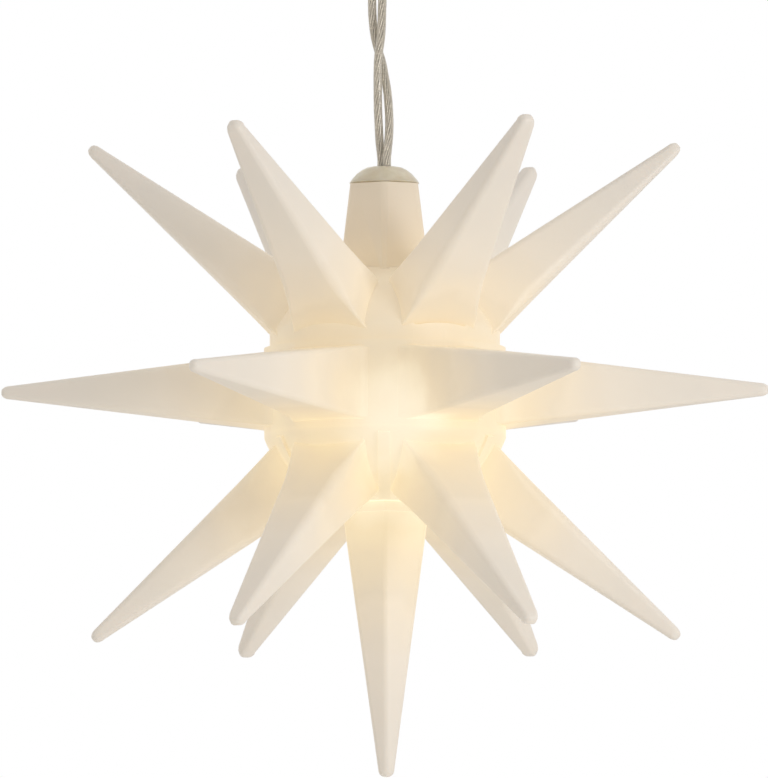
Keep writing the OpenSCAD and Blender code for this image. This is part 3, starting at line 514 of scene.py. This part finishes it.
def ring_spike(form, azimuth, tilt, length):
    """One spike drawn along +X in millimetres, then turned and moved to its window."""
    bm = spike_bar(form)
    skin = bm.verts[:]
    bm.faces.ensure_lookup_table()
    blunt_end(bm, max(bm.faces, key=lambda f: f.calc_center_median().x), tip_round)
    hollow_out(bm, form)
    shape_skin(skin, form)
    for side in (-1, 1):
        ear = bmesh.ops.create_cube(bm, size=1)["verts"]
        bmesh.ops.scale(bm, verts=ear, vec=(ear_thick, ear_wide, form["high"] + ear_over))
        bmesh.ops.translate(bm, verts=ear, vec=(form["root"] - ear_behind,
                                                side * (form["wide"] / 2 - ear_inset),
                                                form["shift"]))
    bmesh.ops.transform(bm, verts=bm.verts,
                        matrix=Matrix.Translation(star_middle) @ Matrix.Rotation(azimuth, 4, "Z")
                        @ Matrix.Rotation(-tilt, 4, "Y") @ Matrix.Scale(mm * length, 4))
    return bm


for row, form, tilt in rows:
    for k in range(6):
        node = f"{row}_spike_{k + 1}"
        turned, tipped, length = seated.get(node, (0.0, 0.0, 1.0))
        bm = ring_spike(form, math.radians(60 * k + turned), math.radians(tilt + tipped), length)
        mesh = finished(bm, "moulded_" + node, sharp=40)
        moulded(node, mesh, star_pp, "star", "star_plastic")

# Bottom spike: one hollow six sided spike with a small collar, pushed up into the pad of the lower
# shell. Its six long edges are softly rounded by the mould and its end is blunt. Only its outside
# is drawn. Widths are measured from the middle to a flat side.
collar_top, body_top, body_end = -17.7, -19.3, -59.3
collar_half, body_half, end_half = 7.0, 6.65, 1.25
to_corner = math.cos(math.radians(30))
bm = bmesh.new()
bmesh.ops.create_cone(bm, segments=6, radius1=end_half / to_corner, radius2=body_half / to_corner,
                      depth=body_top - body_end, cap_ends=True)
bmesh.ops.translate(bm, verts=bm.verts, vec=(0, 0, (body_top + body_end) / 2))
edges = [e for e in bm.edges if abs(e.verts[0].co.z - e.verts[1].co.z) > 1]
bmesh.ops.bevel(bm, geom=edges, offset=0.55, segments=4, profile=0.5, affect="EDGES", material=-1)
bm.normal_update()
blunt_end(bm, min(bm.faces, key=lambda f: f.calc_center_median().z), 1.1)
collar = bmesh.ops.create_cone(bm, segments=6, radius1=collar_half / to_corner,
                               radius2=collar_half / to_corner, depth=collar_top - body_top,
                               cap_ends=True)["verts"]
bmesh.ops.translate(bm, verts=collar, vec=(0, 0, (collar_top + body_top) / 2))
edges = [e for e in bm.edges if e.verts[0] in collar]
bmesh.ops.bevel(bm, geom=edges, offset=0.3, segments=3, profile=0.5, affect="EDGES", material=-1)
bmesh.ops.transform(bm, verts=bm.verts,
                    matrix=Matrix.Translation(star_middle) @ Matrix.Scale(mm, 4))
mesh = finished(bm, "moulded_bottom_spike", sharp=35)
moulded("bottom_spike", mesh, star_pp, "star", "star_plastic")

# Upper shell: the domed top half of the core with the six sided neck, in the same plastic. The
# mould rounds the long edges of the neck, so they are softened on a copy of the solid.
bm = joined_copy("upper_shell", 0.3)
edges = [e for e in bm.edges if e.calc_length() > 8 * mm
         and all(v.co.z > star_z + 15 * mm and v.co.xy.length > 5.5 * mm for v in e.verts)]
bmesh.ops.bevel(bm, geom=edges, offset=0.9 * mm, segments=5, profile=0.5, affect="EDGES",
                material=-1)
mesh = finished(bm, "moulded_upper_shell", sharp=30)
moulded("upper_shell", mesh, star_pp, "star", "star_plastic")

# Neck plug: soft PVC, turned yellowish and cloudy, pressed into the neck. A barb holds it there and
# its domed cap with a thin lip closes the neck; both wires pass through it. The profile gives radii
# and heights over the middle of the star.
plug_pvc, tree, shader = surface(
    "soft_cloudy_pvc_plug", Roughness=0.33, IOR=1.53, Subsurface_Weight=0.5,
    Subsurface_Radius=(0.004, 0.0034, 0.0022), Subsurface_Scale=0.8, Transmission_Weight=0.12)
place = add(tree, "ShaderNodeTexCoord")
cloud = add(tree, "ShaderNodeTexNoise",
            {"Vector": place.outputs["Object"], "Scale": 420.0, "Detail": 4.0})
tint = add(tree, "ShaderNodeValToRGB", {"Fac": cloud.outputs[0]},
           stops=[(0.3, "#dccdb0"), (0.7, "#efe5ce")])
bump = add(tree, "ShaderNodeBump",
           {"Height": cloud.outputs[0], "Strength": 0.4, "Distance": 0.1 * mm})
tree.links.new(tint.outputs[0], shader.inputs["Base Color"])
tree.links.new(bump.outputs[0], shader.inputs["Normal"])
plug_profile = [(0, 22.7), (3.8, 22.7), (4.6, 24.2), (4.6, 24.3), (4.2, 24.4), (4.2, 32.45),
                (5.2, 32.45), (5.45, 32.6), (5.42, 32.75), (5.0, 33.35), (4.3, 34.1), (3.5, 34.7),
                (2.8, 35.05), (1.9, 35.22), (0, 35.27)]


def spun(profile, centre):
    """Spins a profile of radii and heights, in millimetres, about an upright axis."""
    bm = bmesh.new()
    line = [bm.verts.new((r, 0, z)) for r, z in profile]
    edges = [bm.edges.new(pair) for pair in zip(line, line[1:])]
    bmesh.ops.spin(bm, geom=line + edges, axis=(0, 0, 1), cent=(0, 0, 0), angle=math.tau,
                   steps=64, use_merge=True, use_duplicate=False)
    bmesh.ops.remove_doubles(bm, verts=bm.verts, dist=0.0005)
    bmesh.ops.recalc_face_normals(bm, faces=bm.faces)
    bmesh.ops.transform(bm, verts=bm.verts,
                        matrix=Matrix.Translation(Vector(centre) * mm) @ Matrix.Scale(mm, 4))
    return bm


mesh = finished(spun(plug_profile, (0, 0, -star_drop)), "soft_plug", sharp=50)
piece("soft_plug", mesh, plug_pvc, "lamp", "plug_pvc", "neck_plug")


# Wires inside the plug, the star and the case: the same clear PVC, on their solids.
def finish_nodes(material, *names):
    """Gives solids that keep their own mesh a material."""
    for name in names:
        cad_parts[name].data.materials.clear()
        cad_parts[name].data.materials.append(material)


finish_nodes(wire_pvc, "led_wire_a", "led_wire_b", "box_wire_a", "box_wire_b")

# Heat shrink: clear polyolefin sleeve over the two solder joints, a little uneven where it shrank.
sleeve, tree, shader = surface("clear_polyolefin_shrunk_sleeve", Base_Color=linear("#e9e6df"),
                               Roughness=0.22, IOR=1.5, Transmission_Weight=0.6)
place = add(tree, "ShaderNodeTexCoord")
uneven = add(tree, "ShaderNodeTexNoise",
             {"Vector": place.outputs["Object"], "Scale": 900.0, "Detail": 2.0})
bump = add(tree, "ShaderNodeBump",
           {"Height": uneven.outputs[0], "Strength": 0.6, "Distance": 0.2 * mm})
tree.links.new(bump.outputs[0], shader.inputs["Normal"])
finish_nodes(sleeve, "heat_shrink")

# LED: 5 mm round lamp cast in clear epoxy, slightly streaky, with a warm phosphor dot inside.
epoxy, tree, shader = surface("clear_epoxy_cast_lens", Roughness=0.04, IOR=1.54,
                              Transmission_Weight=0.95)
place = add(tree, "ShaderNodeTexCoord")
streak = add(tree, "ShaderNodeTexNoise",
             {"Vector": place.outputs["Object"], "Scale": 300.0, "Detail": 1.0})
tint = add(tree, "ShaderNodeValToRGB", {"Fac": streak.outputs[0]},
           stops=[(0, "#f6f1e2"), (1, "#fdfbf4")])
tree.links.new(tint.outputs[0], shader.inputs["Base Color"])
finish_nodes(epoxy, "led_lens")

phosphor, tree, shader = surface("warm_phosphor_lit", Roughness=0.6, Emission_Strength=1.0)
place = add(tree, "ShaderNodeTexCoord")
grit = add(tree, "ShaderNodeTexNoise",
           {"Vector": place.outputs["Object"], "Scale": 9000.0, "Detail": 2.0})
tint = add(tree, "ShaderNodeValToRGB", {"Fac": grit.outputs[0]},
           stops=[(0, "#ffd98a"), (1, "#fff1c4")])
tree.links.new(tint.outputs[0], shader.inputs["Base Color"])
tree.links.new(tint.outputs[0], shader.inputs["Emission Color"])
finish_nodes(phosphor, "led_chip")

# Sheet metal: steel with a bright coat and fine lines along it from rolling or drawing. The leads
# of the LED are tinned, the contacts and the crystal's can nickel plated, the switch frame zinc.
for name, dark, light, rough, nodes in (
        ("tinned_steel_lead_drawn", "#a9a69f", "#cfcbc3", 0.3, ("led_anode", "led_cathode")),
        ("nickel_plated_steel_strip", "#b7b2a6", "#dbd6ca", 0.24,
         ("bridge_contact", "bridge_spring", "positive_contact", "negative_contact",
          "negative_spring")),
        ("nickel_can_satin", "#b4b1aa", "#d0ccc4", 0.32, ("timer_crystal",)),
        ("zinc_plated_steel_frame", "#a5a7a8", "#c6c8c9", 0.38, ("switch_body",))):
    metal, tree, shader = surface(name, Metallic=1.0)
    place = add(tree, "ShaderNodeTexCoord")
    lines = add(tree, "ShaderNodeMapping",
                {"Vector": place.outputs["Object"], "Scale": (6000, 6000, 500)})
    rolled = add(tree, "ShaderNodeTexNoise",
                 {"Vector": lines.outputs[0], "Scale": 1.0, "Detail": 3.0})
    tint = add(tree, "ShaderNodeValToRGB", {"Fac": rolled.outputs[0]},
               stops=[(0.3, dark), (0.7, light)])
    gloss = add(tree, "ShaderNodeMapRange",
                {"Value": rolled.outputs[0], "To Min": rough - 0.06, "To Max": rough + 0.06})
    tree.links.new(tint.outputs[0], shader.inputs["Base Color"])
    tree.links.new(gloss.outputs[0], shader.inputs["Roughness"])
    finish_nodes(metal, *nodes)

# Battery case, cover, switch panel and hanging eye: white ABS, injection moulded in a spark-eroded
# mould, so satin with a fine grain. All edges are softly broken, drawn on copies of the solids.
case_abs, tree, shader = surface("white_abs_spark_eroded_satin", Roughness=0.45, IOR=1.54)
place = add(tree, "ShaderNodeTexCoord")
grain = add(tree, "ShaderNodeTexNoise",
            {"Vector": place.outputs["Object"], "Scale": 4200.0, "Detail": 2.0})
cloud = add(tree, "ShaderNodeTexNoise",
            {"Vector": place.outputs["Object"], "Scale": 90.0, "Detail": 3.0})
tint = add(tree, "ShaderNodeValToRGB", {"Fac": cloud.outputs[0]},
           stops=[(0.35, "#e6e4de"), (0.65, "#ebe9e4")])
gloss = add(tree, "ShaderNodeMapRange", {"Value": grain.outputs[0], "To Min": 0.38, "To Max": 0.52})
bump = add(tree, "ShaderNodeBump",
           {"Height": grain.outputs[0], "Strength": 0.5, "Distance": 0.05 * mm})
tree.links.new(tint.outputs[0], shader.inputs["Base Color"])
tree.links.new(gloss.outputs[0], shader.inputs["Roughness"])
tree.links.new(bump.outputs[0], shader.inputs["Normal"])
for node, body in (("battery_case", "battery_box"), ("hanging_loop", "battery_box"),
                   ("switch_panel", "battery_box"), ("battery_cover", "cover")):
    mesh = finished(joined_copy(node, 0.5), "moulded_" + node)
    moulded(node, mesh, case_abs, body, "case_plastic", radius=0.2 * mm)

# Words beside the switch: plain raised lettering, moulded with the panel, 1.3 mm high. Each word's
# middle is given along the panel; the lettering is sunk a little into its face.
word_size = 1.75 * mm
word_raised = 0.12 * mm
panel_front = -7.14 * mm
words_z = -64.4 * mm
bm = bmesh.new()
for word, x in (("OFF", -4.4), ("ON", 0.0), ("TIMER", 4.9)):
    text = bpy.data.curves.new("word_" + word, "FONT")
    text.body = word
    text.size = word_size
    text.align_x = "CENTER"
    text.align_y = "CENTER"
    text.extrude = word_raised
    text.resolution_u = 4
    holder = bpy.data.objects.new("word_" + word, text)
    bpy.context.scene.collection.objects.link(holder)
    bpy.context.view_layer.update()
    letters = bpy.data.meshes.new_from_object(holder)
    bpy.data.objects.remove(holder)
    letters.transform(Matrix.Translation((x * mm, panel_front, words_z))
                      @ Matrix.Rotation(math.radians(90), 4, "X"))
    bm.from_mesh(letters)
bmesh.ops.remove_doubles(bm, verts=bm.verts, dist=0.0005 * mm)
mesh = finished(bm, "switch_words", smooth=False)
piece("switch_words", mesh, case_abs, "battery_box", "case_plastic")

# Cells: two AAA cells with plain printed film round a nickel plated can, button at the plus end.
# The film is glossy, a little wrinkled, and has two yellow rings round it. The profile starts at
# the minus end, and the first cell stands on its head.
film_green, band_green, ring_yellow = "#1f4f3c", "#2a6a50", "#d9b45a"
film, tree, shader = surface("printed_pvc_film_on_cell", Roughness=0.28, IOR=1.53, Coat_Weight=0.4)
place = add(tree, "ShaderNodeTexCoord")
height = add(tree, "ShaderNodeSeparateXYZ", {0: place.outputs["Object"]})
along = add(tree, "ShaderNodeMapRange",
            {"Value": height.outputs["Z"], "From Min": -56 * mm, "From Max": -8 * mm})
tint = add(tree, "ShaderNodeValToRGB", {"Fac": along.outputs[0]},
           stops=[(0, film_green), (0.3, ring_yellow), (0.33, band_green), (0.67, ring_yellow),
                  (0.7, film_green)])
tint.color_ramp.interpolation = "CONSTANT"
wrinkle = add(tree, "ShaderNodeTexNoise",
              {"Vector": place.outputs["Object"], "Scale": 260.0, "Detail": 3.0})
bump = add(tree, "ShaderNodeBump",
           {"Height": wrinkle.outputs[0], "Strength": 0.2, "Distance": 0.1 * mm})
tree.links.new(tint.outputs[0], shader.inputs["Base Color"])
tree.links.new(bump.outputs[0], shader.inputs["Normal"])
cell_metal, tree, shader = surface("nickel_plated_can_drawn", Metallic=1.0, Roughness=0.26)
place = add(tree, "ShaderNodeTexCoord")
drawn = add(tree, "ShaderNodeTexNoise",
            {"Vector": place.outputs["Object"], "Scale": 1500.0, "Detail": 3.0})
tint = add(tree, "ShaderNodeValToRGB", {"Fac": drawn.outputs[0]},
           stops=[(0, "#bdb9b0"), (1, "#dedad1")])
tree.links.new(tint.outputs[0], shader.inputs["Base Color"])
film_edge = 4.6 * mm
cell_profile = [
    (0, 0), (3.6, 0), (3.75, 0.12), (3.8, 0.35), (4.5, 0.35), (4.75, 0.2), (5.05, 0.22),
    (5.2, 0.45), (5.25, 0.8), (5.25, 41.6), (5.22, 41.8), (5.02, 42.05), (5.0, 42.3),
    (5.18, 42.6), (5.2, 42.9), (5.0, 43.15), (4.3, 43.2), (4.0, 43.1), (3.0, 43.05),
    (2.15, 43.05), (1.95, 43.25), (1.85, 44.2), (1.6, 44.42), (0, 44.47),
]
for node, x, bottom, way in (("cell_1", -5.5, -11.41, -1), ("cell_2", 5.5, -52.49, 1)):
    bm = spun([(r, z * way) for r, z in cell_profile], (x, 0, bottom))
    for face in bm.faces:
        spot = face.calc_center_median()
        face.material_index = int(math.hypot(spot.x - x * mm, spot.y) < film_edge)
    mesh = finished(bm, "film_" + node, sharp=50)
    piece("film_" + node, mesh, film, "battery_box", "cell_jacket", node)
    mesh.materials.append(cell_metal)

# Timer board: glass fibre board with glossy green solder mask over copper tracks, 1.4 mm apart,
# which show lighter and stand up a little under the mask.
board, tree, shader = surface("green_solder_mask_board", Roughness=0.3, IOR=1.5)
place = add(tree, "ShaderNodeTexCoord")
upright = add(tree, "ShaderNodeMapping",
              {"Vector": place.outputs["Object"], "Rotation": (math.radians(90), 0, 0)})
tracks = add(tree, "ShaderNodeTexBrick",
             {"Vector": upright.outputs[0], "Color1": linear("#17502a"),
              "Color2": linear("#1b5c30"), "Mortar": linear("#2c7a45"), "Scale": 1.0,
              "Mortar Size": 0.18 * mm, "Brick Width": 3.4 * mm, "Row Height": 1.4 * mm})
bump = add(tree, "ShaderNodeBump",
           {"Height": tracks.outputs[1], "Strength": 0.5, "Distance": 0.04 * mm})
tree.links.new(tracks.outputs[0], shader.inputs["Base Color"])
tree.links.new(bump.outputs[0], shader.inputs["Normal"])
finish_nodes(board, "timer_board")

# Timer chip and switch knob: black, one matt moulded epoxy, the other satin nylon.
for name, dark, light, rough, scale, node in (
        ("black_epoxy_moulded_matt", "#17171a", "#242427", 0.62, 3500.0, "timer_chip"),
        ("black_nylon_moulded_satin", "#131315", "#1f1f22", 0.42, 2200.0, "switch_knob")):
    black, tree, shader = surface(name, Roughness=rough, IOR=1.53)
    place = add(tree, "ShaderNodeTexCoord")
    fine = add(tree, "ShaderNodeTexNoise",
               {"Vector": place.outputs["Object"], "Scale": scale, "Detail": 3.0})
    tint = add(tree, "ShaderNodeValToRGB", {"Fac": fine.outputs[0]}, stops=[(0, dark), (1, light)])
    bump = add(tree, "ShaderNodeBump",
               {"Height": fine.outputs[0], "Strength": 0.4, "Distance": 0.04 * mm})
    tree.links.new(tint.outputs[0], shader.inputs["Base Color"])
    tree.links.new(bump.outputs[0], shader.inputs["Normal"])
    finish_nodes(black, node)

# Resistor: beige lacquer with four colour rings round it, 0.2 mm wide.
lacquer_beige = "#cdb183"
lacquer, tree, shader = surface("beige_lacquer_with_rings", Roughness=0.3, IOR=1.5)
place = add(tree, "ShaderNodeTexCoord")
split = add(tree, "ShaderNodeSeparateXYZ", {0: place.outputs["Object"]})
along = add(tree, "ShaderNodeMapRange",
            {"Value": split.outputs["X"], "From Min": -3.2 * mm, "From Max": -1.3 * mm})
tint = add(tree, "ShaderNodeValToRGB", {"Fac": along.outputs[0]},
           stops=[(0, lacquer_beige), (0.14, "#7a4a24"), (0.24, lacquer_beige), (0.34, "#1c1c1c"),
                  (0.44, lacquer_beige), (0.54, "#7a4a24"), (0.64, lacquer_beige),
                  (0.78, "#c99b3a"), (0.9, lacquer_beige)])
tint.color_ramp.interpolation = "CONSTANT"
tree.links.new(tint.outputs[0], shader.inputs["Base Color"])
finish_nodes(lacquer, "resistor")

# Strain relief: soft white PVC bushing, cloudy like the plug but not yet yellowed.
relief, tree, shader = surface(
    "soft_white_pvc_bushing", Roughness=0.4, IOR=1.53, Subsurface_Weight=0.2,
    Subsurface_Radius=(0.002, 0.002, 0.0018), Subsurface_Scale=0.5)
place = add(tree, "ShaderNodeTexCoord")
cloud = add(tree, "ShaderNodeTexNoise",
            {"Vector": place.outputs["Object"], "Scale": 600.0, "Detail": 3.0})
tint = add(tree, "ShaderNodeValToRGB", {"Fac": cloud.outputs[0]},
           stops=[(0.3, "#d5d2c6"), (0.7, "#dfddd3")])
tree.links.new(tint.outputs[0], shader.inputs["Base Color"])
finish_nodes(relief, "strain_relief")
